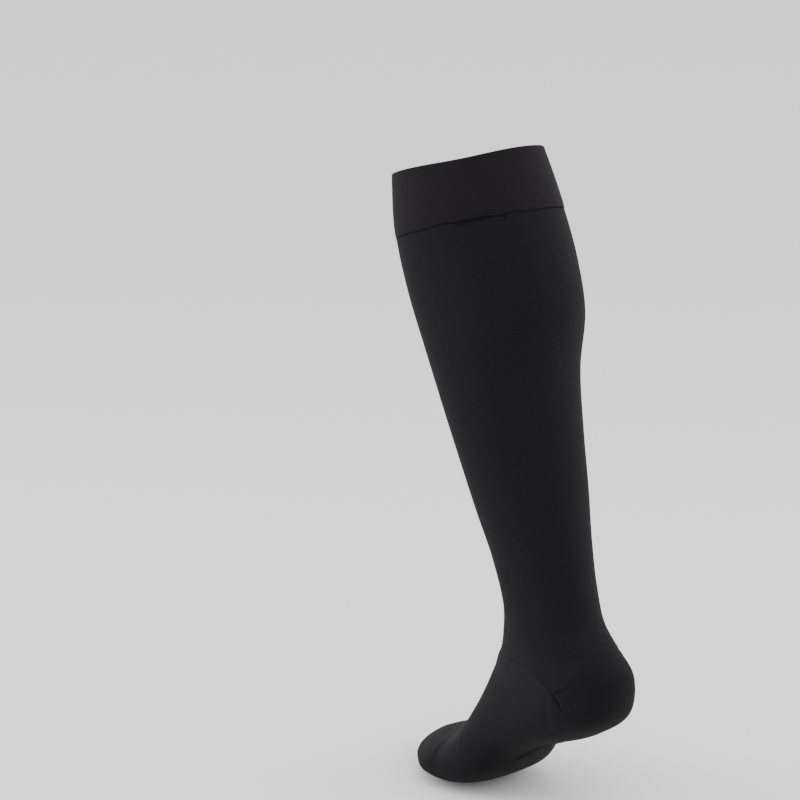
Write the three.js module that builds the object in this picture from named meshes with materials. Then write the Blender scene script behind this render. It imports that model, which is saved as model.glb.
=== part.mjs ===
// A knee-high, closed-toe compression stocking in its worn form, on a left foot that is pushing off:
// the leg leans forward, the heel is raised and the toes stay flat.
// Millimetres. The origin is the centre of the top opening, +Z is up, the toes point to -Y and
// +X is the outer side of the leg.
import * as THREE from "three";

const { degToRad } = THREE.MathUtils;

// How the foot stands
const LEAN = degToRad(18.3); // the leg from upright, knee ahead of the ankle
const HEEL_RAISE = degToRad(27); // the sole's slope from the heel down to the ball
const ANKLE_DOWN = 350; // from the top edge down the leg to the ankle joint
const ANKLE_ALONG = 56; // the same joint on the flat foot, forward of the heel
const ANKLE_UP = 78; // and above the sole
const BALL_START = 145; // where the foot begins to bend at the ball, along the sole
const BALL_LENGTH = 50; // length of sole that takes the bend
const BALL_JOINT_UP = 20; // the bend keeps its length at this height

// The knitted walls
const CLOTH = 1.2;
const BAND_WALL = 2;
const BAND_PROUD = 0.5; // the doubled band stands out from the leg's face
const BAND_DEPTH = 47; // top edge to the band's lower seam
const SEAM_GAP = 0.3;

// Where the heel pocket and the toe cap are set in. A run is a length down the stocking.
const GORE_END_TURN = degToRad(110); // round from the shin to the forward end of each gore line
const GORE_RUN = 387; // down to the gore lines' forward ends
const HEEL_RISE = 28; // the pocket's upper edge is this much run above them at the back of the heel
const HEEL_FALL = 34; // and its lower edge this much below them, under the heel
const POCKET_END_SETBACK = degToRad(0.8); // the pocket's pointed ends stop this short of them
const GORE_CURVE = 1.4; // how long the edges stay straight before they round over at the back
const TOE_SEAM_RUN = 530;

// How finely the walls are divided
const TURN_STEPS = 36;
const BAND_ROWS = 3;
const LEG_ROWS = 26;
const FOOT_ROWS = 13;
const HEEL_ROWS = 8;
const TOE_ROWS = 10;
const CLOSER_AT_ANKLE = 1.3; // the leg's rows lie closer together towards the ankle
const CLOSER_AT_TIP = 1.8; // and the toe cap's towards the tip

const FULL_TURN = 2 * Math.PI;
const TURN_STEP = FULL_TURN / TURN_STEPS;
const ALL_ROUND = Array.from({ length: TURN_STEPS + 1 }, (_, step) => (step % TURN_STEPS) * TURN_STEP);

// The leg's sections: down the leg from the top edge, then the reach from the leg's middle line
// to the front, the back, the outer side and the inner side.
const LEG_SECTIONS = table(["down", "front", "back", "outer", "inner"], [
  [0, 51, 60, 54, 56],
  [42, 52, 68, 61, 61],
  [84, 51, 74, 60, 63],
  [122, 47, 75, 56, 60],
  [160, 44, 59, 51, 53],
  [204, 40, 53, 45, 47],
  [248, 37, 48, 38, 43],
  [287, 34, 44, 31, 38],
  [320, 34, 43, 29, 35],
]);

// The foot's sections, as on a flat foot: each section's upper end and its lower end (forward of the
// heel, above the sole), how far down it is widest, its reach to each side, its sideways shift, how far
// its outer side lies back for each mm of reach, and how square its lower half is (2 is round).
const FOOT_SECTIONS = table(
  ["topAlong", "topUp", "soleAlong", "soleUp", "widest", "outer", "inner", "shift", "skew", "square"],
  [
    [95, 99, 11, 76, 0.55, 31, 33, 0, 0, 2],
    [104, 90, 2, 54, 0.55, 32, 34, 0, 0, 2],
    [112, 86, -6, 31, 0.58, 34, 35, 0, 0, 2.1],
    [119, 81, 10, 9, 0.62, 34, 36, 0, 0, 2.2],
    [125, 76, 44, 4, 0.66, 35, 33, 0, 0, 2.3],
    [134, 69, 76, 7, 0.66, 36, 31, -1, 0.03, 2.3],
    [150, 60, 110, 8, 0.64, 39, 35, -3, 0.12, 2.3],
    [169, 50, 142, 0, 0.6, 46, 47, -5, 0.22, 2.6],
    [189, 39, 176, -1, 0.58, 49, 50, -7, 0.3, 2.4],
    [208, 30, 206, 1, 0.55, 47, 49, -8, 0.34, 2.3],
    [226, 25, 226, 0.5, 0.53, 34, 45, -9, 0.36, 2.3],
    [237, 20.5, 237, 0.5, 0.5, 23, 40, -12, 0.35, 2.4],
    [244.5, 17, 244.5, 1.5, 0.5, 11, 34, -16, 0.33, 2.4],
    [249, 13, 249, 4, 0.5, -6, 27, -19, 0.3, 2.3],
    [251, 8.5, 251, 8.5, 0.5, -20, 20, -20, 0.3, 2],
  ],
);

// A table's rows as objects with the columns' names.
function table(columns, rows) {
  return rows.map((row) => Object.fromEntries(columns.map((name, k) => [name, row[k]])));
}

// A point beside the leg's middle line, as (y, z): a distance down it and a reach forward of it.
function besideLeg(down, forward) {
  return [
    down * Math.sin(LEAN) - forward * Math.cos(LEAN),
    -down * Math.cos(LEAN) - forward * Math.sin(LEAN),
  ];
}

// A point of the flat foot, as (y, z) on the raised and bent foot. Forward of BALL_START the sole
// follows an arc that turns it level, and past the arc it runs straight.
function onRaisedFoot(along, up) {
  const radius = BALL_LENGTH / HEEL_RAISE;
  const share = Math.min(Math.max((along - BALL_START) / BALL_LENGTH, 0), 1);
  const turn = HEEL_RAISE * share;
  const before = Math.min(along, BALL_START);
  const after = Math.max(along - BALL_START - BALL_LENGTH, 0);
  const reach = radius + BALL_JOINT_UP - up;
  const forward = before + reach * Math.sin(turn) + after * Math.cos(turn) - ANKLE_ALONG;
  const rise = BALL_JOINT_UP + radius - reach * Math.cos(turn) + after * Math.sin(turn) - ANKLE_UP;
  const [ankleY, ankleZ] = besideLeg(ANKLE_DOWN, 0);
  return [
    ankleY - forward * Math.cos(HEEL_RAISE) - rise * Math.sin(HEEL_RAISE),
    ankleZ - forward * Math.sin(HEEL_RAISE) + rise * Math.cos(HEEL_RAISE),
  ];
}

// Every section as one list of numbers: its front end, its rear end, then widest, outer, inner,
// shift, skew and square.
const SECTIONS = [
  ...LEG_SECTIONS.map(({ down, front, back, outer, inner }) => [
    ...besideLeg(down, front), ...besideLeg(down, -back), front / (front + back), outer, inner, 0, 0, 2,
  ]),
  ...FOOT_SECTIONS.map((s) => [
    ...onRaisedFoot(s.topAlong, s.topUp), ...onRaisedFoot(s.soleAlong, s.soleUp),
    s.widest, s.outer, s.inner, s.shift, s.skew, s.square,
  ]),
];

// Each section's run: the length down the stocking to it, the mean of its front and its rear path.
const RUNS = SECTIONS.reduce((runs, section, k) => {
  if (k === 0) return [0];
  const before = SECTIONS[k - 1];
  const frontStep = Math.hypot(section[0] - before[0], section[1] - before[1]);
  const rearStep = Math.hypot(section[2] - before[2], section[3] - before[3]);
  return [...runs, runs[k - 1] + (frontStep + rearStep) / 2];
}, []);
const TIP_RUN = RUNS[RUNS.length - 1];

// The change of each number per mm of run at each section, for a smooth curve through them all.
const SLOPES = SECTIONS.map((section, k) => section.map((value, n) => {
  const slopeTo = (i) => (SECTIONS[i + 1][n] - SECTIONS[i][n]) / (RUNS[i + 1] - RUNS[i]);
  if (k === 0) return slopeTo(0);
  if (k === SECTIONS.length - 1) return slopeTo(k - 1);
  const stepBefore = RUNS[k] - RUNS[k - 1];
  const stepAfter = RUNS[k + 1] - RUNS[k];
  return (slopeTo(k - 1) * stepAfter + slopeTo(k) * stepBefore) / (stepBefore + stepAfter);
}));

// The section at a run, by a cubic between its two neighbours.
function sectionAt(run) {
  const next = RUNS.findIndex((sectionRun, k) => k > 0 && sectionRun >= run);
  const after = next < 0 ? RUNS.length - 1 : next;
  const before = after - 1;
  const step = RUNS[after] - RUNS[before];
  const t = (run - RUNS[before]) / step;
  const keep = 2 * t ** 3 - 3 * t ** 2 + 1;
  const leave = (t ** 3 - 2 * t ** 2 + t) * step;
  const arrive = (t ** 3 - t ** 2) * step;
  return SECTIONS[before].map((value, n) => (
    keep * value + (1 - keep) * SECTIONS[after][n] + leave * SLOPES[before][n] + arrive * SLOPES[after][n]
  ));
}

// A point of the stocking's outer face. The turn goes round the section: 0 at the shin or instep,
// a quarter at the outer side, a half at the calf, heel or sole.
function facePoint(run, turn) {
  const [frontY, frontZ, rearY, rearZ, widest, outer, inner, shift, skew, square] = sectionAt(run);
  const c = Math.cos(turn);
  const s = Math.sin(turn);
  const centreY = frontY + widest * (rearY - frontY);
  const centreZ = frontZ + widest * (rearZ - frontZ);
  const power = c < 0 ? square : 2;
  const reach = (Math.abs(c) ** power + Math.abs(s) ** power) ** (-1 / power);
  const endY = c < 0 ? rearY : frontY;
  const endZ = c < 0 ? rearZ : frontZ;
  const across = (s < 0 ? inner + shift : outer - shift) * s * reach;
  const x = shift + across;
  const depth = Math.abs(c) * reach;
  return new THREE.Vector3(x, centreY + (endY - centreY) * depth + skew * x, centreZ + (endZ - centreZ) * depth);
}

// The outward direction of the face there, from points a little way round and along.
function faceNormal(run, turn) {
  const NEAR_RUN = 0.5;
  const NEAR_TURN = 0.01;
  if (run >= TIP_RUN) {
    const topBefore = facePoint(TIP_RUN - NEAR_RUN, 0);
    const soleBefore = facePoint(TIP_RUN - NEAR_RUN, Math.PI);
    const middleBefore = topBefore.add(soleBefore).multiplyScalar(0.5);
    return facePoint(TIP_RUN, 0).sub(middleBefore).normalize();
  }
  const from = Math.max(run - NEAR_RUN, 0);
  const to = Math.min(run + NEAR_RUN, TIP_RUN);
  const along = facePoint(to, turn).sub(facePoint(from, turn));
  const round = facePoint(run, turn + NEAR_TURN).sub(facePoint(run, turn - NEAR_TURN));
  return along.cross(round).normalize();
}

// How much run makes the seam's gap along the face there.
function seamRun(run, turn) {
  const perRun = facePoint(run + 1, turn).distanceTo(facePoint(run - 1, turn)) / 2;
  return SEAM_GAP / perRun;
}

// How far the heel opening has spread at a turn: 0 forward of its two ends, 1 at the back of the heel.
function heelSpread(turn) {
  const fromBack = Math.abs(turn - Math.PI) / (Math.PI - GORE_END_TURN);
  return fromBack >= 1 ? 0 : 1 - fromBack ** GORE_CURVE;
}

// A closed wall from a net on the outer face. It stands out from the face by one distance and is as
// thick as the other: the inner side is the outer one moved in, and every free edge is closed.
function wall(net, out, thickness) {
  const moved = (distance) => net.points.map(([run, turn]) => (
    facePoint(run, turn).addScaledVector(faceNormal(run, turn), distance)
  ));
  const corners = [...moved(out), ...moved(out - thickness)];
  const inner = net.points.length;
  const triangles = [];
  const addFace = (face) => {
    for (let k = 2; k < face.length; k += 1) triangles.push(face[0], face[k - 1], face[k]);
  };
  const edges = new Set();
  for (const face of net.faces) {
    addFace(face);
    addFace(face.map((corner) => corner + inner).reverse());
    face.forEach((corner, k) => edges.add(`${corner} ${face[(k + 1) % face.length]}`));
  }
  for (const edge of edges) {
    const [a, b] = edge.split(" ").map(Number);
    if (!edges.has(`${b} ${a}`)) addFace([b, a, a + inner, b + inner]);
  }
  const geometry = new THREE.BufferGeometry();
  const positions = corners.flatMap((corner) => corner.toArray());
  geometry.setAttribute("position", new THREE.Float32BufferAttribute(positions, 3));
  geometry.setIndex(triangles);
  return geometry;
}

// Points (run and turn) and faces on the stocking's face, with one point wherever faces meet.
class Net {
  points = [];

  faces = [];

  known = new Map();

  point(run, turn) {
    const place = turn.toFixed(4);
    const key = run >= TIP_RUN ? "tip" : `${run.toFixed(3)} ${place}`;
    if (!this.known.has(key)) {
      this.known.set(key, this.points.length);
      this.points.push([run, turn]);
    }
    return this.known.get(key);
  }

  // Rows of faces between two runs that may vary with the turn, closer together towards the end run
  // where closer is over 1. Faces that shrink to a line are left out.
  addRows(turns, startRun, endRun, rows, closer = 1) {
    const at = (row, turn) => {
      const share = 1 - (1 - row / rows) ** closer;
      return this.point(startRun(turn) + (endRun(turn) - startRun(turn)) * share, turn);
    };
    for (let k = 1; k < turns.length; k += 1) {
      const [left, right] = [turns[k - 1], turns[k]];
      for (let row = 0; row < rows; row += 1) {
        const corners = [at(row, left), at(row + 1, left), at(row + 1, right), at(row, right)];
        const face = corners.filter((corner, n) => corners.indexOf(corner) === n);
        if (face.length > 2) this.faces.push(face);
      }
    }
  }
}

const KNIT = { color: 0x1e1c1f, roughness: 0.9, metalness: 0 };

function knitMesh(name, net, out, thickness) {
  const mesh = new THREE.Mesh(wall(net, out, thickness), new THREE.MeshStandardMaterial(KNIT));
  mesh.name = name;
  return mesh;
}

// The band is knitted double and folded over at the top edge.
function topBand() {
  const net = new Net();
  net.addRows(ALL_ROUND, () => 0, () => BAND_DEPTH - SEAM_GAP / 2, BAND_ROWS);
  return knitMesh("top_band", net, BAND_PROUD, BAND_WALL);
}

// The leg and the foot are one tube with an opening where the heel pocket is set in.
function legAndFoot() {
  const net = new Net();
  const upperEdge = (turn) => GORE_RUN - HEEL_RISE * heelSpread(turn);
  const lowerEdge = (turn) => GORE_RUN + HEEL_FALL * heelSpread(turn);
  net.addRows(ALL_ROUND, () => BAND_DEPTH + SEAM_GAP / 2, upperEdge, LEG_ROWS, CLOSER_AT_ANKLE);
  net.addRows(ALL_ROUND, lowerEdge, () => TOE_SEAM_RUN - SEAM_GAP / 2, FOOT_ROWS);
  return knitMesh("leg_and_foot", net, 0, CLOTH);
}

// The heel pocket fills the opening up to the seam's gap, and its two ends are points.
function heelPocket() {
  const net = new Net();
  const firstTurn = GORE_END_TURN + POCKET_END_SETBACK;
  const lastTurn = FULL_TURN - firstTurn;
  const between = ALL_ROUND.filter((turn) => turn > firstTurn && turn < lastTurn);
  const isEnd = (turn) => turn === firstTurn || turn === lastTurn;
  const upperEdge = (turn) => {
    const run = GORE_RUN - HEEL_RISE * heelSpread(turn);
    return isEnd(turn) ? GORE_RUN : run + seamRun(run, turn);
  };
  const lowerEdge = (turn) => {
    const run = GORE_RUN + HEEL_FALL * heelSpread(turn);
    return isEnd(turn) ? GORE_RUN : run - seamRun(run, turn);
  };
  net.addRows([firstTurn, ...between, lastTurn], upperEdge, lowerEdge, HEEL_ROWS);
  return knitMesh("heel_pocket", net, 0, CLOTH);
}

// The toe cap closes the tube over the toes.
function toeCap() {
  const net = new Net();
  net.addRows(ALL_ROUND, () => TOE_SEAM_RUN + SEAM_GAP / 2, () => TIP_RUN, TOE_ROWS, CLOSER_AT_TIP);
  return knitMesh("toe_cap", net, 0, CLOTH);
}

const stocking = new THREE.Group();
stocking.add(topBand(), legAndFoot(), heelPocket(), toeCap());

export default stocking;
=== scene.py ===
import bpy
import numpy as np
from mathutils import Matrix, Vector


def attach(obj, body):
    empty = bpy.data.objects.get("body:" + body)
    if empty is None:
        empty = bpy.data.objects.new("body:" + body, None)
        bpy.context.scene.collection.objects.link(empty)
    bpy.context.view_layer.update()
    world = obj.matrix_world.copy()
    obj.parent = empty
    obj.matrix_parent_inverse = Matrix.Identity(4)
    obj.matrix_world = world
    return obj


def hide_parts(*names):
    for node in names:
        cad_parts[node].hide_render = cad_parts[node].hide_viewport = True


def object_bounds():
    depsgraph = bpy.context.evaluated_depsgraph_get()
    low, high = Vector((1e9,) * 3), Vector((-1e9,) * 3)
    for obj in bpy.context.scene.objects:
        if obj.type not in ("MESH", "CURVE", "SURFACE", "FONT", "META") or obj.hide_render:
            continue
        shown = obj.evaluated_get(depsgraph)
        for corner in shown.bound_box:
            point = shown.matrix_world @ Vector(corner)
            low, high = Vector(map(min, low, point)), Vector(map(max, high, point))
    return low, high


# A knee-high, closed-toe compression stocking in its worn form, on a left foot that is pushing off.
# The frame is the CAD part's: the origin is the middle of the top opening, +Z is up, the toes point
# to -Y and +X is the outer side. The knit's sizes are in millimetres and its meshes in metres.
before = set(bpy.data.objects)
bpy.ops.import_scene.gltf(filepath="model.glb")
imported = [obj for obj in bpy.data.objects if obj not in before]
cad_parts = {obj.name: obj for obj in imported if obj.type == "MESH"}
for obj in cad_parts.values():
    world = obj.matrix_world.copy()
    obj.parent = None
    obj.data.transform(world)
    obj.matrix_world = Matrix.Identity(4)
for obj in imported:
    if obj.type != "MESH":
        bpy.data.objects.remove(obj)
cad_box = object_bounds()

# Camera. It stands behind the leg and to its outer side, a little above it, with a long lens.
CAMERA_AZIMUTH = 144
CAMERA_ELEVATION = 10.3
CAMERA_DISTANCE = 3.3
CAMERA_LENS = 206.25
LOOKED_AT = Vector((0.0554, -0.0022, -0.1693))


def direction(azimuth, elevation):
    """The unit vector towards an azimuth and an elevation in degrees. Azimuth 0 is in front of the
    toes and 90 is on the outer side."""
    turned = np.radians(azimuth)
    raised = np.radians(elevation)
    return Vector((
        np.sin(turned) * np.cos(raised),
        -np.cos(turned) * np.cos(raised),
        np.sin(raised),
    ))


camera = bpy.data.objects.new("camera", bpy.data.cameras.new("camera"))
bpy.context.scene.collection.objects.link(camera)
camera.data.lens = CAMERA_LENS
camera.data.sensor_width = 36
camera.data.clip_end = 50
camera.location = CAMERA_DISTANCE * direction(CAMERA_AZIMUTH, CAMERA_ELEVATION)
camera.rotation_mode = "QUATERNION"
camera.rotation_quaternion = (LOOKED_AT - camera.location).to_track_quat("-Z", "Y")
bpy.context.scene.camera = camera


# Studio. A pale floor runs out to a white surround, with a large soft light on each side of the leg
# and one above it, so that the black cloth is lit along both of its edges.
FLOOR_RADIUS = 12.0
FLOOR_COLOUR = (0.72, 0.72, 0.72, 1)
SURROUND_STRENGTH = 1.6
LIT_MIDDLE = Vector((0, 0.06, -0.22))


class Socket:
    """One output of a shader node. Arithmetic on it adds Math nodes."""

    def __init__(self, tree, output):
        self.tree = tree
        self.output = output

    def node(self, kind, settings=None, sockets=None, out=0):
        """Adds a node of that type, sets its settings first and then its sockets, by name or number,
        and gives back one of its outputs."""
        made = self.tree.nodes.new(kind)
        for name, value in (settings or {}).items():
            setattr(made, name, value)
        for key, value in (sockets or {}).items():
            if isinstance(value, Socket):
                self.tree.links.new(value.output, made.inputs[key])
            else:
                made.inputs[key].default_value = value
        return Socket(self.tree, made.outputs[out])

    def math(self, operation, *values):
        return self.node("ShaderNodeMath", {"operation": operation}, dict(enumerate(values)))

    def __add__(self, other):
        return self.math("ADD", self, other)

    def __sub__(self, other):
        return self.math("SUBTRACT", self, other)

    def __rsub__(self, other):
        return self.math("SUBTRACT", other, self)

    def __mul__(self, other):
        return self.math("MULTIPLY", self, other)

    def __pow__(self, other):
        return self.math("POWER", self, other)

    def sin(self):
        return self.math("SINE", self)

    def cos(self):
        return self.math("COSINE", self)

    def fraction(self):
        return self.math("FRACT", self)

    def size(self):
        return self.math("ABSOLUTE", self)


def new_material(name, **constants):
    """A material with one Principled shader and its constant sockets set. Gives the material, a
    starting Socket for its nodes and the shader node."""
    material = bpy.data.materials.new(name)
    material.use_nodes = True
    shader = material.node_tree.nodes["Principled BSDF"]
    for socket, value in constants.items():
        shader.inputs[socket.replace("_", " ")].default_value = value
    return material, Socket(material.node_tree, None), shader


def floor_disc(radius, height):
    """A disc in rings that widen outwards: ring k lies at radius times (k / rings) squared."""
    rings = radius * np.linspace(0.02, 1, 24) ** 2
    turns = np.linspace(0, 2 * np.pi, 96, endpoint=False)
    x = np.outer(rings, np.cos(turns)).ravel()
    y = np.outer(rings, np.sin(turns)).ravel()
    points = np.vstack([[0, 0, height], np.stack([x, y, np.full(x.size, height)], 1)])
    index = 1 + np.arange(rings.size * turns.size).reshape(rings.size, turns.size)
    after = np.roll(index, -1, 1)
    quads = np.stack([index[:-1], index[1:], after[1:], after[:-1]], -1).reshape(-1, 4)
    middle = np.stack([np.zeros(turns.size, int), index[0], after[0]], 1)
    mesh = bpy.data.meshes.new("floor")
    mesh.from_pydata(points.tolist(), [], quads.tolist() + middle.tolist())
    return mesh


floor = bpy.data.objects.new("floor", floor_disc(FLOOR_RADIUS, cad_box[0].z))
bpy.context.scene.collection.objects.link(floor)
floor_material, _, floor_shader = new_material("floor_paint", Roughness=0.8)
floor_shader.inputs["Base Color"].default_value = FLOOR_COLOUR
floor.data.materials.append(floor_material)

surround = bpy.data.worlds.new("surround")
surround.use_nodes = True
surround.node_tree.nodes["Background"].inputs["Color"].default_value = (1, 1, 1, 1)
surround.node_tree.nodes["Background"].inputs["Strength"].default_value = SURROUND_STRENGTH
bpy.context.scene.world = surround


def soft_light(name, azimuth, elevation, distance, width, height, power):
    """A rectangular light on a sphere round the stocking's middle, facing it. Its size and distance
    are in metres and its power in watts."""
    light = bpy.data.lights.new(name, "AREA")
    light.shape = "RECTANGLE"
    light.size = width
    light.size_y = height
    light.energy = power
    lamp = bpy.data.objects.new(name, light)
    bpy.context.scene.collection.objects.link(lamp)
    away = direction(azimuth, elevation)
    lamp.location = LIT_MIDDLE + distance * away
    lamp.rotation_mode = "QUATERNION"
    lamp.rotation_quaternion = (-away).to_track_quat("-Z", "Y")


soft_light("light_left", CAMERA_AZIMUTH - 80, 15, distance=2.0, width=1.2, height=2.0, power=38)
soft_light("light_right", CAMERA_AZIMUTH + 80, 15, distance=2.0, width=1.2, height=2.0, power=30)
soft_light("light_above", CAMERA_AZIMUTH, 70, distance=2.2, width=1.6, height=1.6, power=18)


# Leg and foot. One seamless circular-knit tube of covered elastane and nylon, knitted from the band
# to the toes with a gap left at the heel. It is stretched tight by the leg, so it has the leg's form,
# with a few shallow puckers where the heel pocket's corners pull on it.
LEAN = np.radians(18.3)  # the leg from upright
HEEL_RAISE = np.radians(27)  # the sole's slope from the heel down to the ball
ANKLE_DOWN = 350  # the ankle joint, down the leg from the top edge
ANKLE_ALONG = 56  # the same joint on the flat foot, forward of the heel
ANKLE_UP = 78  # and above the sole
BALL_START = 145  # where the foot begins to bend at the ball, along the sole
BALL_LENGTH = 50  # length of sole that takes the bend
BALL_JOINT_UP = 20  # the bend keeps its length at this height
BAND_DEPTH = 47  # top edge to the band's lower seam
GORE_END_TURN = np.radians(110)  # round from the shin to the heel gap's corner
GORE_RUN = 387  # run down to the corners
HEEL_RISE = 28  # how far the gap's upper edge rises above them at the back of the heel
HEEL_FALL = 34  # and its lower edge falls below them, under the heel
GORE_CURVE = 1.4  # how long the edges stay straight before they round over at the back
TOE_SEAM_RUN = 530  # run down to the toe cap's seam
# Down the leg, and the reach from its middle line to the front, back, outer and inner side
LEG_SECTIONS = np.array([
    [0, 51, 60, 54, 56],
    [42, 52, 68, 61, 61],
    [84, 51, 74, 60, 63],
    [122, 47, 75, 56, 60],
    [160, 44, 59, 51, 53],
    [204, 40, 53, 45, 47],
    [248, 37, 48, 38, 43],
    [287, 34, 44, 31, 38],
    [320, 34, 43, 29, 35],
], float)
# On the flat foot: the upper end (along, up), the lower end (along, up), how far down it is widest,
# its reach outwards and inwards, its sideways shift, skew, and how square its lower half is
FOOT_SECTIONS = np.array([
    [95, 99, 11, 76, 0.55, 31, 33, 0, 0, 2],
    [104, 90, 2, 54, 0.55, 32, 34, 0, 0, 2],
    [112, 86, -6, 31, 0.58, 34, 35, 0, 0, 2.1],
    [119, 81, 10, 9, 0.62, 34, 36, 0, 0, 2.2],
    [125, 76, 44, 4, 0.66, 35, 33, 0, 0, 2.3],
    [134, 69, 76, 7, 0.66, 36, 31, -1, 0.03, 2.3],
    [150, 60, 110, 8, 0.64, 39, 35, -3, 0.12, 2.3],
    [169, 50, 142, 0, 0.6, 46, 47, -5, 0.22, 2.6],
    [189, 39, 176, -1, 0.58, 49, 50, -7, 0.3, 2.4],
    [208, 30, 206, 1, 0.55, 47, 49, -8, 0.34, 2.3],
    [226, 25, 226, 0.5, 0.53, 34, 45, -9, 0.36, 2.3],
    [237, 20.5, 237, 0.5, 0.5, 23, 40, -12, 0.35, 2.4],
    [244.5, 17, 244.5, 1.5, 0.5, 11, 34, -16, 0.33, 2.4],
    [249, 13, 249, 4, 0.5, -6, 27, -19, 0.3, 2.3],
    [251, 8.5, 251, 8.5, 0.5, -20, 20, -20, 0.3, 2],
])


def beside_leg(down, forward):
    """(y, z) of a point that far down the leaning leg's middle line and that far forward of it."""
    y = down * np.sin(LEAN) - forward * np.cos(LEAN)
    z = -down * np.cos(LEAN) - forward * np.sin(LEAN)
    return y, z


def on_raised_foot(along, up):
    """(y, z) of a flat foot's point on the raised foot. Past the start of the ball the sole follows
    an arc that turns it level, of radius ball length over heel raise at the joint's height."""
    radius = BALL_LENGTH / HEEL_RAISE
    turned = HEEL_RAISE * np.clip((along - BALL_START) / BALL_LENGTH, 0, 1)
    after = np.maximum(along - BALL_START - BALL_LENGTH, 0)
    reach = radius + BALL_JOINT_UP - up
    forward = np.minimum(along, BALL_START) + reach * np.sin(turned) + after * np.cos(turned) - ANKLE_ALONG
    rise = BALL_JOINT_UP + radius - reach * np.cos(turned) + after * np.sin(turned) - ANKLE_UP
    ankle_y, ankle_z = beside_leg(ANKLE_DOWN, 0)
    y = ankle_y - forward * np.cos(HEEL_RAISE) - rise * np.sin(HEEL_RAISE)
    z = ankle_z - forward * np.sin(HEEL_RAISE) + rise * np.cos(HEEL_RAISE)
    return y, z


def worn_sections():
    """Every section, one row each: its front end and rear end as y, z, then how far back it is widest,
    its outer and inner reach, shift, skew and squareness."""
    down, front, back, outer, inner = LEG_SECTIONS.T
    still = np.zeros(down.size)
    leg = np.column_stack([
        *beside_leg(down, front), *beside_leg(down, -back), front / (front + back), outer, inner,
        still, still, still + 2,
    ])
    foot = np.column_stack([
        *on_raised_foot(*FOOT_SECTIONS[:, 0:2].T), *on_raised_foot(*FOOT_SECTIONS[:, 2:4].T),
        FOOT_SECTIONS[:, 4:],
    ])
    return np.vstack([leg, foot])


SECTIONS = worn_sections()
# Each section's run, its way down the stocking: the mean of the front's and the rear's path to it
STEPS = np.diff(SECTIONS[:, :4], axis=0)
RUNS = np.append(0, np.cumsum((np.hypot(*STEPS[:, 0:2].T) + np.hypot(*STEPS[:, 2:4].T)) / 2))
TIP_RUN = RUNS[-1]
# How each number changes per mm of run at each section, weighted towards the nearer neighbour
GAPS = np.diff(RUNS)[:, None]
CHORDS = np.diff(SECTIONS, axis=0) / GAPS
SLOPES = np.vstack([
    CHORDS[:1],
    (CHORDS[:-1] * GAPS[1:] + CHORDS[1:] * GAPS[:-1]) / (GAPS[:-1] + GAPS[1:]),
    CHORDS[-1:],
])


def worn_face(run, turn):
    """Points of the worn outer face in mm, at a run down the stocking and a turn round it: 0 at the
    shin, a quarter at the outer side, a half at the calf or sole. The section there is a cubic between
    its neighbours, and round it each half is a superellipse about the place where it is widest."""
    run, turn = np.broadcast_arrays(np.asarray(run, float), np.asarray(turn, float))
    after = np.clip(np.searchsorted(RUNS, run), 1, RUNS.size - 1)
    step = (RUNS[after] - RUNS[after - 1])[..., None]
    t = (run[..., None] - RUNS[after - 1][..., None]) / step
    keep = 2 * t ** 3 - 3 * t ** 2 + 1
    section = (
        keep * SECTIONS[after - 1] + (1 - keep) * SECTIONS[after]
        + (t ** 3 - 2 * t ** 2 + t) * step * SLOPES[after - 1] + (t ** 3 - t ** 2) * step * SLOPES[after]
    )
    front_y, front_z, rear_y, rear_z, widest, outer, inner, shift, skew, square = np.moveaxis(section, -1, 0)
    c = np.cos(turn)
    s = np.sin(turn)
    power = np.where(c < 0, square, 2)
    reach = (np.abs(c) ** power + np.abs(s) ** power) ** (-1 / power)
    x = shift + np.where(s < 0, inner + shift, outer - shift) * s * reach
    middle_y = front_y + widest * (rear_y - front_y)
    middle_z = front_z + widest * (rear_z - front_z)
    depth = np.abs(c) * reach
    y = middle_y + (np.where(c < 0, rear_y, front_y) - middle_y) * depth + skew * x
    z = middle_z + (np.where(c < 0, rear_z, front_z) - middle_z) * depth
    return np.stack([x, y, z], -1)


def outward(run, turn):
    """The face's unit normal: the way along it crossed with the way round it, each from two points
    close by. At the tip it is the way there from just inside it."""
    along = worn_face(np.minimum(run + 0.5, TIP_RUN), turn) - worn_face(np.maximum(run - 0.5, 0), turn)
    round_it = worn_face(run, turn + 0.01) - worn_face(run, turn - 0.01)
    normal = np.cross(along, round_it)
    tip = worn_face(TIP_RUN, 0) - (worn_face(TIP_RUN - 0.5, 0) + worn_face(TIP_RUN - 0.5, np.pi)) / 2
    normal = np.where((np.asarray(run) > TIP_RUN - 0.01)[..., None], tip, normal)
    return normal / np.linalg.norm(normal, axis=-1, keepdims=True)


def girth(run):
    """The way round the section at each run, in mm, from chords between 73 points."""
    runs = np.linspace(0, TIP_RUN, 200)
    ring = worn_face(runs[:, None], np.linspace(0, 2 * np.pi, 73))
    around = np.linalg.norm(np.diff(ring, axis=1), axis=-1).sum(1)
    return np.interp(run, runs, around)


def heel_spread(turn):
    """How far the heel's gap has opened: 0 forward of its two corners, 1 at the back of the heel."""
    from_back = np.abs(turn - np.pi) / (np.pi - GORE_END_TURN)
    return np.where(from_back < 1, 1 - np.minimum(from_back, 1) ** GORE_CURVE, 0)


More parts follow.
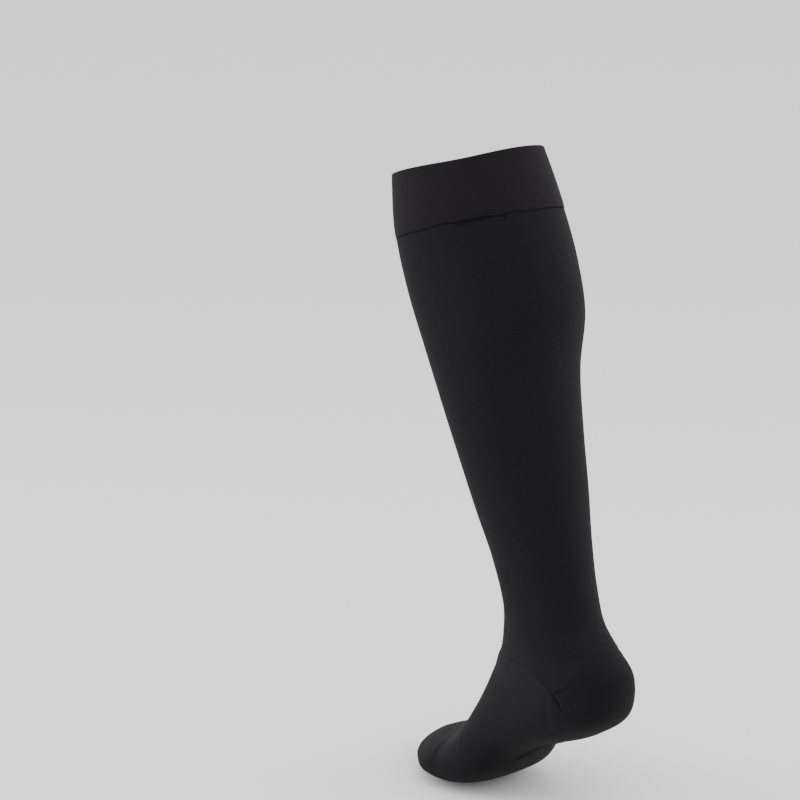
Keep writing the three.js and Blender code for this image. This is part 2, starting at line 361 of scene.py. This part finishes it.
def fold(run, turn, start, end, width, height, bow=0, trough=0):
    """A soft ridge along the line from start to end, each (run, turn in degrees). Its height falls off
    across it as exp(-(d / width) squared) and smoothly to nothing at its ends. The bow bends the line
    sideways by that many mm at its middle, and trough adds a hollow of that share along both sides."""
    start = np.array([start[0], np.radians(start[1])])
    end = np.array([end[0], np.radians(end[1])])
    per_turn = girth((start[0] + end[0]) / 2) / (2 * np.pi)
    scale = np.array([1, per_turn])
    line = (end - start) * scale
    length = np.hypot(*line)
    from_start = (np.stack([run, turn], -1) - start) * scale
    share = from_start @ line / length ** 2
    across = (from_start[..., 0] * line[1] - from_start[..., 1] * line[0]) / length
    across = across - bow * (1 - (2 * np.clip(share, 0, 1) - 1) ** 2)
    near_end = np.clip(np.minimum(share, 1 - share) / 0.3 + 0.15, 0, 1)
    fade = near_end ** 2 * (3 - 2 * near_end)
    ridge = np.exp(-(across / width) ** 2)
    hollows = np.exp(-((np.abs(across) - 2.2 * width) / width) ** 2)
    return height * fade * (ridge - trough * hollows)


def way_per_run(run, turn):
    """How many mm of cloth one mm of run is worth there."""
    ahead = worn_face(np.minimum(run + 1, TIP_RUN), turn)
    behind = worn_face(np.maximum(run - 1, 0), turn)
    return np.linalg.norm(ahead - behind, axis=-1) / 2


def seam_wander(turn):
    """How far down from its even line the band's lower seam has been pulled at each turn, in mm: a
    few soft bumps, each exp(-(angle / width) squared), on a slow wave."""
    angle = np.degrees(turn)
    wander = 0.3 * np.sin(7 * turn)
    for at, width, pull in ((118, 7, -1.5), (158, 5, 0.8), (167, 3.5, -1.0), (186, 12, 0.8), (262, 9, -0.9)):
        wander = wander + pull * np.exp(-((angle - at) / width) ** 2)
    return wander


def seam_pull(turn):
    """How hard the band's lower seam is drawn in at each turn, from 0 to 1: strongest on the outer
    side, where the closing starts, in soft bumps of exp(-(angle / width) squared)."""
    angle = np.degrees(turn)
    pull = 0.12 + 0.1 * np.sin(5 * turn + 2)
    bumps = (
        (82, 11, 0.55), (109, 5, 0.6), (139, 13, 0.5), (155, 6, 0.4), (192, 8, 0.2), (285, 20, 0.4),
    )
    for at, width, more in bumps:
        pull = pull + more * np.exp(-((angle - at) / width) ** 2)
    return np.clip(pull, 0, 1)


def worn_relief(run, turn):
    """How far the cloth stands out from the worn form, in mm: the sum of the folds and puckers that
    the pose and the heel's corners make in it."""
    relief = np.zeros(run.shape)
    # The pull at the outer heel corner: a ridge down from the ankle, one curving under to the sole
    relief += fold(run, turn, (376, 78), (387, 110), 2.8, 0.75, bow=-1.5, trough=0.25)
    relief += fold(run, turn, (386, 105), (411, 134), 2.6, 0.5, bow=4.5, trough=0.35)
    relief += fold(run, turn, (387, 110), (381.5, 127), 1.0, -0.6, trough=0.4)
    relief += fold(run, turn, (387, 110), (396, 121), 1.2, -0.7, bow=-1, trough=0.5)
    relief += fold(run, turn, (387.5, 115), (391.5, 130), 1.6, 0.35)
    # The same at the inner corner
    relief += fold(run, turn, (378, 283), (387.5, 250), 3.0, 0.5, bow=1.5)
    relief += fold(run, turn, (386, 254), (410, 227), 2.6, 0.4, bow=-4, trough=0.3)
    relief += fold(run, turn, (387, 250), (382, 234), 1.0, -0.55, trough=0.4)
    relief += fold(run, turn, (387, 250), (396, 240), 1.2, -0.6, bow=1, trough=0.5)
    # Creases over the heel cord and just below the ankle
    relief += fold(run, turn, (358, 182), (356.5, 214), 1.2, -0.6, trough=0.5)
    relief += fold(run, turn, (352, 188), (351, 206), 1.2, -0.25, trough=0.5)
    relief += fold(run, turn, (364, 136), (361.5, 152), 0.9, -0.6, trough=0.5)
    relief += fold(run, turn, (363, 225), (366, 240), 1.0, -0.4, trough=0.5)
    # Slack lines across the front of the ankle
    relief += fold(run, turn, (352, -38), (352, 34), 1.8, -0.4, trough=0.5)
    relief += fold(run, turn, (352, 322), (352, 394), 1.8, -0.4, trough=0.5)
    relief += fold(run, turn, (372, 60), (369, 80), 1.6, -0.4, trough=0.4)
    # Fine lines across the back of the calf
    relief += fold(run, turn, (83, 174), (85.5, 192), 1.2, -0.4, trough=0.7)
    relief += fold(run, turn, (88.5, 178), (91, 203), 1.3, -0.5, trough=0.7)
    relief += fold(run, turn, (97, 184), (100, 206), 1.4, -0.45, trough=0.7)
    relief += fold(run, turn, (104.5, 188), (108, 210), 1.4, -0.4, trough=0.7)
    # Where the sole folds behind the ball
    relief += fold(run, turn, (440, 159), (476, 156), 2.0, 1.1, bow=-6, trough=0.6)
    relief += fold(run, turn, (447, 172), (472, 196), 3.0, -1.0)
    # Over the toes
    relief += fold(run, turn, (486, 76), (479, 52), 1.6, -0.4, trough=0.6)
    relief += fold(run, turn, (500, 30), (497, -20), 2.2, -0.4, trough=0.5)
    relief += fold(run, turn, (500, 390), (497, 340), 2.2, -0.4, trough=0.5)
    relief += fold(run, turn, (536, 50), (526, 74), 1.5, 0.35, trough=0.7)
    return relief


def heel_groove(run, turn):
    """The groove of the heel's seam in mm, exp(-(distance / 0.7 mm) squared) from the nearer edge of
    the gap. It is 0.3 deep next to the corners, a slight 0.05 beyond, and nothing forward of them."""
    spread = heel_spread(turn)
    way = way_per_run(run, turn)
    to_upper = np.abs(run - (GORE_RUN - HEEL_RISE * spread)) * way
    to_lower = np.abs(run - (GORE_RUN + HEEL_FALL * spread)) * way
    depth = (0.05 + 0.25 * np.exp(-(spread / 0.12) ** 2)) * np.clip(spread / 0.03, 0, 1)
    return -depth * np.exp(-(np.minimum(to_upper, to_lower) / 0.7) ** 2)


EDGE_LOOPS = np.array([0, 0.5, 1.1, 2.0])[:, None]  # rows along each seam, mm from it


def rows_between(start, end, turns, middle_rows, closer=1):
    """The runs of a net's rows at each turn: the edge loops at both ends and the middle rows between
    them, closer together towards the end where closer is over 1."""
    first = start + EDGE_LOOPS / way_per_run(start, turns)
    last = end - EDGE_LOOPS[::-1] / way_per_run(end, turns)
    share = 1 - (1 - np.linspace(0, 1, middle_rows + 2)[1:-1, None]) ** closer
    return np.vstack([first, first[-1] + (last[0] - first[-1]) * share, last])


def net_faces(index):
    """The faces of a net of points: each cell's corners in the order down, round, up. A cell with two
    corners in one point becomes a triangle."""
    cells = np.stack([index[:-1, :-1], index[1:, :-1], index[1:, 1:], index[:-1, 1:]], -1).reshape(-1, 4)
    same = cells == np.roll(cells, -1, axis=1)
    pinched = same.any(1)
    return cells[~pinched], cells[pinched][~same[pinched]].reshape(-1, 3)


def rim_faces(quads, triangles, count):
    """The quads that join the free edges of a net's outer side to its inner side, whose points have
    the same numbers plus count."""
    edges = np.vstack([
        np.stack([face, np.roll(face, -1, axis=1)], -1).reshape(-1, 2) for face in (quads, triangles)
    ])
    codes = edges[:, 0] * count + edges[:, 1]
    free = edges[~np.isin(codes, edges[:, 1] * count + edges[:, 0])]
    a, b = free.T
    return np.stack([b, a, a + count, b + count], 1)


WALES = 340  # stitches round the tube
COURSE = 0.62  # one row of stitches, mm


def add_knit_map(mesh, turn, course):
    """A UV map that counts stitches: U is the wale round the tube and V the course down it. Corners of
    a face that lies across the shin line are all counted from its one side."""
    corners = np.empty(len(mesh.loops), np.int64)
    mesh.loops.foreach_get("vertex_index", corners)
    starts = np.empty(len(mesh.polygons), np.int64)
    mesh.polygons.foreach_get("loop_start", starts)
    totals = np.empty(len(mesh.polygons), np.int64)
    mesh.polygons.foreach_get("loop_total", totals)
    wale = turn[corners] / (2 * np.pi) * WALES
    highest = np.repeat(np.maximum.reduceat(wale, starts), totals)
    wale = np.where(highest - wale > WALES / 2, wale + WALES, wale)
    knit = mesh.uv_layers.new(name="knit")
    knit.data.foreach_set("uv", np.stack([wale, course[corners]], 1).astype(np.float32).ravel())


def new_piece(name, points, faces, turn, course):
    """A smooth-shaded mesh object from points in mm, with its knit map."""
    mesh = bpy.data.meshes.new(name)
    mesh.from_pydata((points / 1000).tolist(), [], faces)
    mesh.polygons.foreach_set("use_smooth", np.ones(len(mesh.polygons), bool))
    add_knit_map(mesh, turn, course)
    piece = bpy.data.objects.new(name, mesh)
    bpy.context.scene.collection.objects.link(piece)
    return piece


def knit_shell(name, run, turn, course, index_parts, relief):
    """A closed shell of cloth over nets of points, whose outer side stands out by the relief in mm and
    whose inner side lies the cloth's thickness further in. A strip closes every free edge."""
    found = [net_faces(part) for part in index_parts]
    quads = np.vstack([part[0] for part in found])
    triangles = np.vstack([part[1] for part in found])
    face = worn_face(run, turn)
    normal = outward(run, turn)
    points = np.vstack([face + normal * relief[:, None], face + normal * (relief - CLOTH)[:, None]])
    rim = rim_faces(quads, triangles, run.size)
    faces = [
        *quads.tolist(), *triangles.tolist(), *rim.tolist(),
        *(quads[:, ::-1] + run.size).tolist(), *(triangles[:, ::-1] + run.size).tolist(),
    ]
    return new_piece(name, points, faces, np.tile(turn, 2), np.tile(course, 2))


def knit_material(name, colour, lines, relief):
    """Fine jersey with a laid-in elastic thread: each stitch is two legs of a loop that lean towards
    the wale's middle, and every second course stands up along its thread. The colour carries painted
    shade, darker in the gaps between the stitches and lighter on their raised loops, and besides
    that it drifts a little over the leg."""
    material, start, shader = new_material(
        name, Sheen_Weight=0.022, Sheen_Roughness=0.6, Specular_IOR_Level=0.02,
    )
    shader.inputs["Sheen Tint"].default_value = (0.98, 0.94, 1.0, 1)
    place = start.node("ShaderNodeUVMap", {"uv_map": "knit"})
    split = start.node("ShaderNodeSeparateXYZ", sockets={0: place})
    wale = split
    course = Socket(start.tree, split.output.node.outputs[1])
    across = (wale.fraction() - 0.5).size() * 2
    leg = ((across - 0.5) * np.pi).cos() ** 0.7
    loop = ((course + across * 0.65) * (2 * np.pi)).sin() * 0.5 + 0.5
    thread = (course * np.pi).sin() * 0.5 + 0.5
    height = leg * 0.5 + loop * 0.45 + thread * lines
    solid = start.node("ShaderNodeTexCoord", out=3)
    drift = start.node("ShaderNodeTexNoise", sockets={"Vector": solid, "Scale": 9.0, "Detail": 3.0})
    streak = start.node("ShaderNodeTexNoise", {"noise_dimensions": "1D"}, {"W": course * 0.35, "Scale": 1.0})
    # Painted shade: the stitches' height darkens the colour in their gaps and lightens it on the loops; the
    # drift and streak noise are the yarn's own uneven tone.
    painted_gap_shade_and_drift = height * 0.25 + drift * 0.5 + streak * 0.25 + 0.45
    dark = tuple(0.55 * c for c in colour)
    light = tuple(1.5 * c for c in colour)
    mixed = start.node(
        "ShaderNodeMix", {"data_type": "RGBA"}, {0: painted_gap_shade_and_drift * 0.5, 6: (*dark, 1), 7: (*light, 1)}, out=2,
    )
    start.tree.links.new(mixed.output, shader.inputs["Base Color"])
    rough = 0.78 - height * 0.12
    start.tree.links.new(rough.output, shader.inputs["Roughness"])
    bump = start.node("ShaderNodeBump", sockets={"Strength": relief, "Distance": 0.0003, "Height": height})
    start.tree.links.new(bump.output, shader.inputs["Normal"])
    return material


LEG_COLOUR = (0.0055, 0.0051, 0.0057)
CLOTH = 1.0  # thickness, mm
TURNS = 200
LEG_ROWS = 140
FOOT_ROWS = 72
TUCK = 0.4  # how far the tube's end reaches up under the band, mm


def leg_net():
    """The tube's points and nets: one net runs from the band to the gap's upper edge and one from its
    lower edge to the toe seam, and forward of the gap they share one row of points. Turns lie closer
    together on the outer side of the heel, and rows towards the ankle."""
    even = np.linspace(0, 2 * np.pi, TURNS, endpoint=False)
    turns = even - 0.3 * (np.sin(even - np.radians(140)) + np.sin(np.radians(140)))
    spread = heel_spread(turns)
    band_edge = BAND_DEPTH - TUCK + seam_wander(turns)
    upper = rows_between(band_edge, GORE_RUN - HEEL_RISE * spread, turns, LEG_ROWS, 1.25)
    lower = rows_between(GORE_RUN + HEEL_FALL * spread, np.full(TURNS, TOE_SEAM_RUN), turns, FOOT_ROWS)
    run = np.vstack([upper, lower])
    index = np.arange(run.size).reshape(run.shape)
    lower_index = index[len(upper):].copy()
    lower_index[0] = np.where(spread > 0, lower_index[0], index[len(upper) - 1])
    parts = [np.column_stack([part, part[:, 0]]) for part in (index[:len(upper)], lower_index)]
    used, numbers = np.unique(np.concatenate([part.ravel() for part in parts]), return_inverse=True)
    above, below = np.split(numbers.ravel(), [parts[0].size])
    parts = [above.reshape(parts[0].shape), below.reshape(parts[1].shape)]
    return run.ravel()[used], np.tile(turns, len(run))[used], parts


run, turn, parts = leg_net()
from_band = run - BAND_DEPTH - seam_wander(turn)
relief = worn_relief(run, turn) + heel_groove(run, turn)
# Under the band's edge the tube goes in, deeper where the seam pulls, and a slight ridge stands up
# below it there. The coarse stitches lie in a shallow trough.
pull = seam_pull(turn)
relief += -0.75 * pull * np.exp(-(np.maximum(from_band + TUCK, 0) / 1.1) ** 2)
relief += 0.4 * pull * np.exp(-((from_band - 3.0) / 1.2) ** 2)
relief += fold(run, turn, (BAND_DEPTH + 1.2, 126), (BAND_DEPTH + 1.2, 152), 1.8, -0.5)
relief += -0.15 * np.exp(-((TOE_SEAM_RUN - run) / 0.8) ** 2)
leg_and_foot = knit_shell("leg_and_foot_knit", run, turn, run / COURSE, parts, relief)
leg_and_foot.data.materials.append(knit_material("leg_knit", LEG_COLOUR, 0.5, 0.5))
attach(leg_and_foot, "root")
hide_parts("leg_and_foot")


# Top band. A welt of the same yarns knitted double, folded over at the top edge and closed along its
# lower edge, so that it is thicker than the leg and grips without cutting in.
BAND_OUT = 0.5
BAND_WALL = 2.0
BAND_TURNS = 240


def band_profile():
    """Run and reach out of the band's closed cross-section in mm: down its outer side, which bulges as
    a sine, round its lower edge, up its inner side and over the fold, a half circle."""
    down = np.linspace(1, BAND_DEPTH - 3, 36)
    outer = np.stack([down, BAND_OUT + 0.2 * np.sin(np.pi * down / BAND_DEPTH)], 1)
    low = BAND_DEPTH + np.array([-1.8, -1.2, -0.6, -0.25, -0.1, 0.0, -0.3, -0.9])
    lower = np.stack([low, np.array([0.36, 0.26, 0.16, 0.02, -0.4, -0.9, -1.3, -1.48])], 1)
    up = np.linspace(BAND_DEPTH - 2.2, 1, 18)
    inner = np.stack([up, np.full(up.size, BAND_OUT - BAND_WALL)], 1)
    around = np.linspace(-np.pi / 2, np.pi / 2, 9)[1:-1]
    fold_over = np.stack([1 - np.cos(around), BAND_OUT - 1 + np.sin(around)], 1)
    return np.vstack([outer, lower, inner, fold_over])


def top_dip(turn):
    """How far the top edge sags below an even line on the outer side of the calf, in mm."""
    return 2.1 * np.exp(-((np.degrees(turn) - 138) / 34) ** 2)


profile = band_profile()
turns = np.linspace(0, 2 * np.pi, BAND_TURNS, endpoint=False)
low_down = np.clip((profile[:, :1] - 18) / 26, 0, 1)
low_down = low_down ** 2 * (3 - 2 * low_down)
high_up = np.exp(-(profile[:, :1] / 14) ** 2)
run = profile[:, :1] + seam_wander(turns) * low_down + top_dip(turns) * high_up
turn = np.broadcast_to(turns, run.shape)
gather = np.sin(47 * turns) * 0.06 + np.sin(31 * turns + 2) * 0.08
reach = profile[:, 1:] + gather * np.exp(-(BAND_DEPTH - profile[:, :1]) / 7)
reach = reach - 0.25 * seam_pull(turns) * np.exp(-((BAND_DEPTH - profile[:, :1]) / 1.6) ** 2)
points = worn_face(run, turn) + outward(run, turn) * reach[..., None]
index = np.arange(run.size).reshape(run.shape)
index = np.vstack([index, index[:1]])
quads, _ = net_faces(np.column_stack([index, index[:, 0]]))
lengths = np.append(0, np.cumsum(np.hypot(*np.diff(profile, axis=0).T)))
course = np.broadcast_to(lengths[:, None] / COURSE, run.shape)
top_band = new_piece("top_band_knit", points.reshape(-1, 3), quads.tolist(), turn.ravel(), course.ravel())
top_band.data.materials.append(knit_material("band_knit", (0.0064, 0.0055, 0.0067), 0.7, 0.55))
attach(top_band, "root")
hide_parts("top_band")


# Band stitching. Black nylon thread: a fine zigzag all round closes the welt, and where the closing
# starts on the outer side a coarser stretch ends in a straight run and a short upright tack.
THREAD_SIDES = 6
SEAM_STITCHES = 228
CLOSING_STITCHES = 7


def thread_piece(name, centres, away, radius, closed=False):
    """Round threads along rows of points: centres and the surface's normals there, each of shape
    (threads, points, 3) in mm. Each ring lies across its thread's tangent, and open ends are capped."""
    if closed:
        tangent = np.roll(centres, -1, 1) - np.roll(centres, 1, 1)
    else:
        tangent = np.gradient(centres, axis=1)
    tangent = tangent / np.linalg.norm(tangent, axis=-1, keepdims=True)
    side = np.cross(tangent, away)
    side = side / np.linalg.norm(side, axis=-1, keepdims=True)
    top = np.cross(side, tangent)
    angle = np.linspace(0, 2 * np.pi, THREAD_SIDES, endpoint=False)[:, None]
    across = top[:, :, None] * np.cos(angle) + side[:, :, None] * np.sin(angle)
    rings = centres[:, :, None] + radius * across
    index = np.arange(rings[..., 0].size).reshape(rings.shape[:3])
    rows = np.concatenate([index, index[:, :1]], 1) if closed else index
    after = np.roll(rows, -1, 2)
    quads = np.stack([rows[:, :-1], after[:, :-1], after[:, 1:], rows[:, 1:]], -1).reshape(-1, 4)
    caps = [] if closed else [*index[:, -1].tolist(), *index[:, 0, ::-1].tolist()]
    mesh = bpy.data.meshes.new(name)
    mesh.from_pydata((rings.reshape(-1, 3) / 1000).tolist(), [], quads.tolist() + caps)
    mesh.polygons.foreach_set("use_smooth", np.ones(len(mesh.polygons), bool))
    piece = bpy.data.objects.new(name, mesh)
    bpy.context.scene.collection.objects.link(piece)
    return piece


def thread_material():
    """Twisted filament thread: fine diagonal ridges on Object coordinates, with painted shade that darkens
    the colour between them.
    """
    material, start, shader = new_material("thread", Specular_IOR_Level=0.05)
    solid = start.node("ShaderNodeTexCoord", out=3)
    twist = start.node(
        "ShaderNodeTexWave", {"bands_direction": "DIAGONAL"},
        {"Vector": solid, "Scale": 900.0, "Distortion": 1.0}, out=1,
    )
    # Painted shade: the colour is darker between the twist's ridges.
    mixed = start.node(
        "ShaderNodeMix", {"data_type": "RGBA"},
        {0: twist, 6: (0.002, 0.002, 0.0025, 1), 7: (0.005, 0.005, 0.006, 1)}, out=2,
    )
    start.tree.links.new(mixed.output, shader.inputs["Base Color"])
    rough = 0.75 - twist * 0.15
    start.tree.links.new(rough.output, shader.inputs["Roughness"])
    bump = start.node("ShaderNodeBump", sockets={"Strength": 0.4, "Distance": 0.0001, "Height": twist})
    start.tree.links.new(bump.output, shader.inputs["Normal"])
    return material


def on_cloth(run, turn, out):
    """Points that far out from the worn face, in mm, and the normals there."""
    normal = outward(run, turn)
    return worn_face(run, turn) + normal * np.asarray(out)[..., None], normal


black_thread = thread_material()
# The fine zigzag, 1.7 mm and four points to a stitch
steps = 4 * SEAM_STITCHES
turn = np.linspace(0, 2 * np.pi, steps, endpoint=False)
phase = np.arange(steps) * np.pi / 2
run = BAND_DEPTH + 0.1 + seam_wander(turn) + 0.55 * np.sin(phase)
centres, away = on_cloth(run, turn, 0.1 + 0.1 * np.cos(2 * phase) - 0.45 * seam_pull(turn))
seam_thread = thread_piece("band_seam_thread", centres[None], away[None], 0.13, closed=True)
seam_thread.data.materials.append(black_thread)
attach(seam_thread, "root")

# The coarse stretch, 3.3 mm and 16 points to a stitch, then the straight run and the tack
turn = np.radians(np.linspace(128.5, 149, 16 * CLOSING_STITCHES + 1))
phase = np.arange(turn.size) * np.pi / 8
run = BAND_DEPTH + 0.7 + 1.4 * np.sin(phase)
straight = np.radians(np.linspace(149.4, 160, 24))
turn = np.append(turn, straight)
run = np.append(run, np.linspace(BAND_DEPTH + 1.2, BAND_DEPTH + 0.9, 24))
centres, away = on_cloth(run, turn, np.zeros(run.size))
coarse_thread = thread_piece("band_closing_thread", centres[None], away[None], 0.3)
coarse_thread.data.materials.append(black_thread)
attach(coarse_thread, "root")
run = np.linspace(BAND_DEPTH - 1.0, BAND_DEPTH + 3.6, 12)
turn = np.radians(np.linspace(160.8, 159.6, 12))
centres, away = on_cloth(run, turn, 0.35 + 0.25 * np.cos(np.linspace(-1.5, 1.5, 12)))
tack = thread_piece("band_closing_tack", centres[None], away[None], 0.38)
tack.data.materials.append(black_thread)
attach(tack, "root")


# Heel pocket. A cup of the same knit, plated with stout nylon and knitted back and forth into the
# gap, so that its two seams meet in a corner at each side of the heel.
POCKET_COLUMNS = 96
POCKET_ROWS = 44
POCKET_COURSES = 150
POCKET_STITCHES = 100

turns = np.linspace(GORE_END_TURN, 2 * np.pi - GORE_END_TURN, POCKET_COLUMNS + 1)
spread = heel_spread(turns)
inner_turns = turns[1:-1]
rows = rows_between(
    (GORE_RUN - HEEL_RISE * spread)[1:-1], (GORE_RUN + HEEL_FALL * spread)[1:-1], inner_turns, POCKET_ROWS,
)
middle = np.linspace(0, 1, len(rows))[:, None]
even_rows = rows[0] + (rows[-1] - rows[0]) * middle
room = np.clip((rows[-1] - rows[0]) / 12, 0, 1)  # the edge loops need room near the corners
rows = even_rows + (rows - even_rows) * room
run = np.concatenate([rows.ravel(), [GORE_RUN, GORE_RUN]])
turn = np.concatenate([np.tile(inner_turns, len(rows)), [turns[0], turns[-1]]])
index = np.arange(rows.size).reshape(rows.shape)
corners = np.full((len(rows), 2), [rows.size, rows.size + 1])
index = np.column_stack([corners[:, 0], index, corners[:, 1]])
share = (rows - rows[0]) / (rows[-1] - rows[0])
course = np.append(((share - 0.5) * spread[1:-1] * POCKET_COURSES).ravel(), [0, 0])
relief = worn_relief(run, turn) + heel_groove(run, turn)
heel_pocket = knit_shell("heel_pocket_knit", run, turn, course, [index], relief)
pocket_knit = knit_material("pocket_knit", (0.0052, 0.0048, 0.0054), 0.3, 0.65)
heel_pocket.data.materials.append(pocket_knit)
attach(heel_pocket, "root")
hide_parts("heel_pocket")


def link_stitches(name, run, turn, amplitude, out, radius):
    """Fine loops that link two edges: a zigzag of four points to a stitch across the line of runs and
    turns. Its points go to one side and the other by the amplitude, in mm, as a sine."""
    step = np.arange(run.size) * np.pi / 2
    side = amplitude * np.sin(step) / way_per_run(run, turn)
    centres, away = on_cloth(run + side, turn, out + 0.08 * np.cos(2 * step))
    stitches = thread_piece(name, centres[None], away[None], radius)
    stitches.data.materials.append(black_thread)
    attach(stitches, "root")
    return stitches


# The loops that hold the pocket along each edge of the gap, 1.0 to 1.2 mm to a stitch
turn = np.linspace(GORE_END_TURN + 0.02, 2 * np.pi - GORE_END_TURN - 0.02, 4 * POCKET_STITCHES)
spread = heel_spread(turn)
pocket_links = [
    link_stitches("heel_upper_links", GORE_RUN - HEEL_RISE * spread, turn, 0.3, -0.16, 0.1),
    link_stitches("heel_lower_links", GORE_RUN + HEEL_FALL * spread, turn, 0.3, -0.16, 0.1),
]


# Toe cap. The same plated knit closes the tube over the toes. It is joined on with a linked seam
# across the top of the toes, which shows as a line of fine loops in a slight groove.
CAP_ROWS = 54
TOE_STITCHES = 90

turns = np.linspace(0, 2 * np.pi, TURNS, endpoint=False)
rows = rows_between(np.full(TURNS, TOE_SEAM_RUN), np.full(TURNS, TIP_RUN - 0.6), turns, CAP_ROWS, 1.6)[:-4]
run = np.append(rows.ravel(), TIP_RUN)
turn = np.append(np.tile(turns, len(rows)), 0)
index = np.arange(rows.size).reshape(rows.shape)
index = np.vstack([index, np.full(TURNS, rows.size)])
index = np.column_stack([index, index[:, 0]])
relief = worn_relief(run, turn) - 0.15 * np.exp(-((run - TOE_SEAM_RUN) / 0.8) ** 2)
toe_cap = knit_shell("toe_cap_knit", run, turn, run / COURSE, [index], relief)
toe_cap.data.materials.append(pocket_knit)
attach(toe_cap, "root")
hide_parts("toe_cap")
# The linked seam over the toes, 1.2 mm to a loop
turn = np.radians(np.linspace(-78, 78, 4 * TOE_STITCHES))
toe_links = link_stitches("toe_links", np.full(turn.size, TOE_SEAM_RUN), turn, 0.4, -0.08, 0.12)
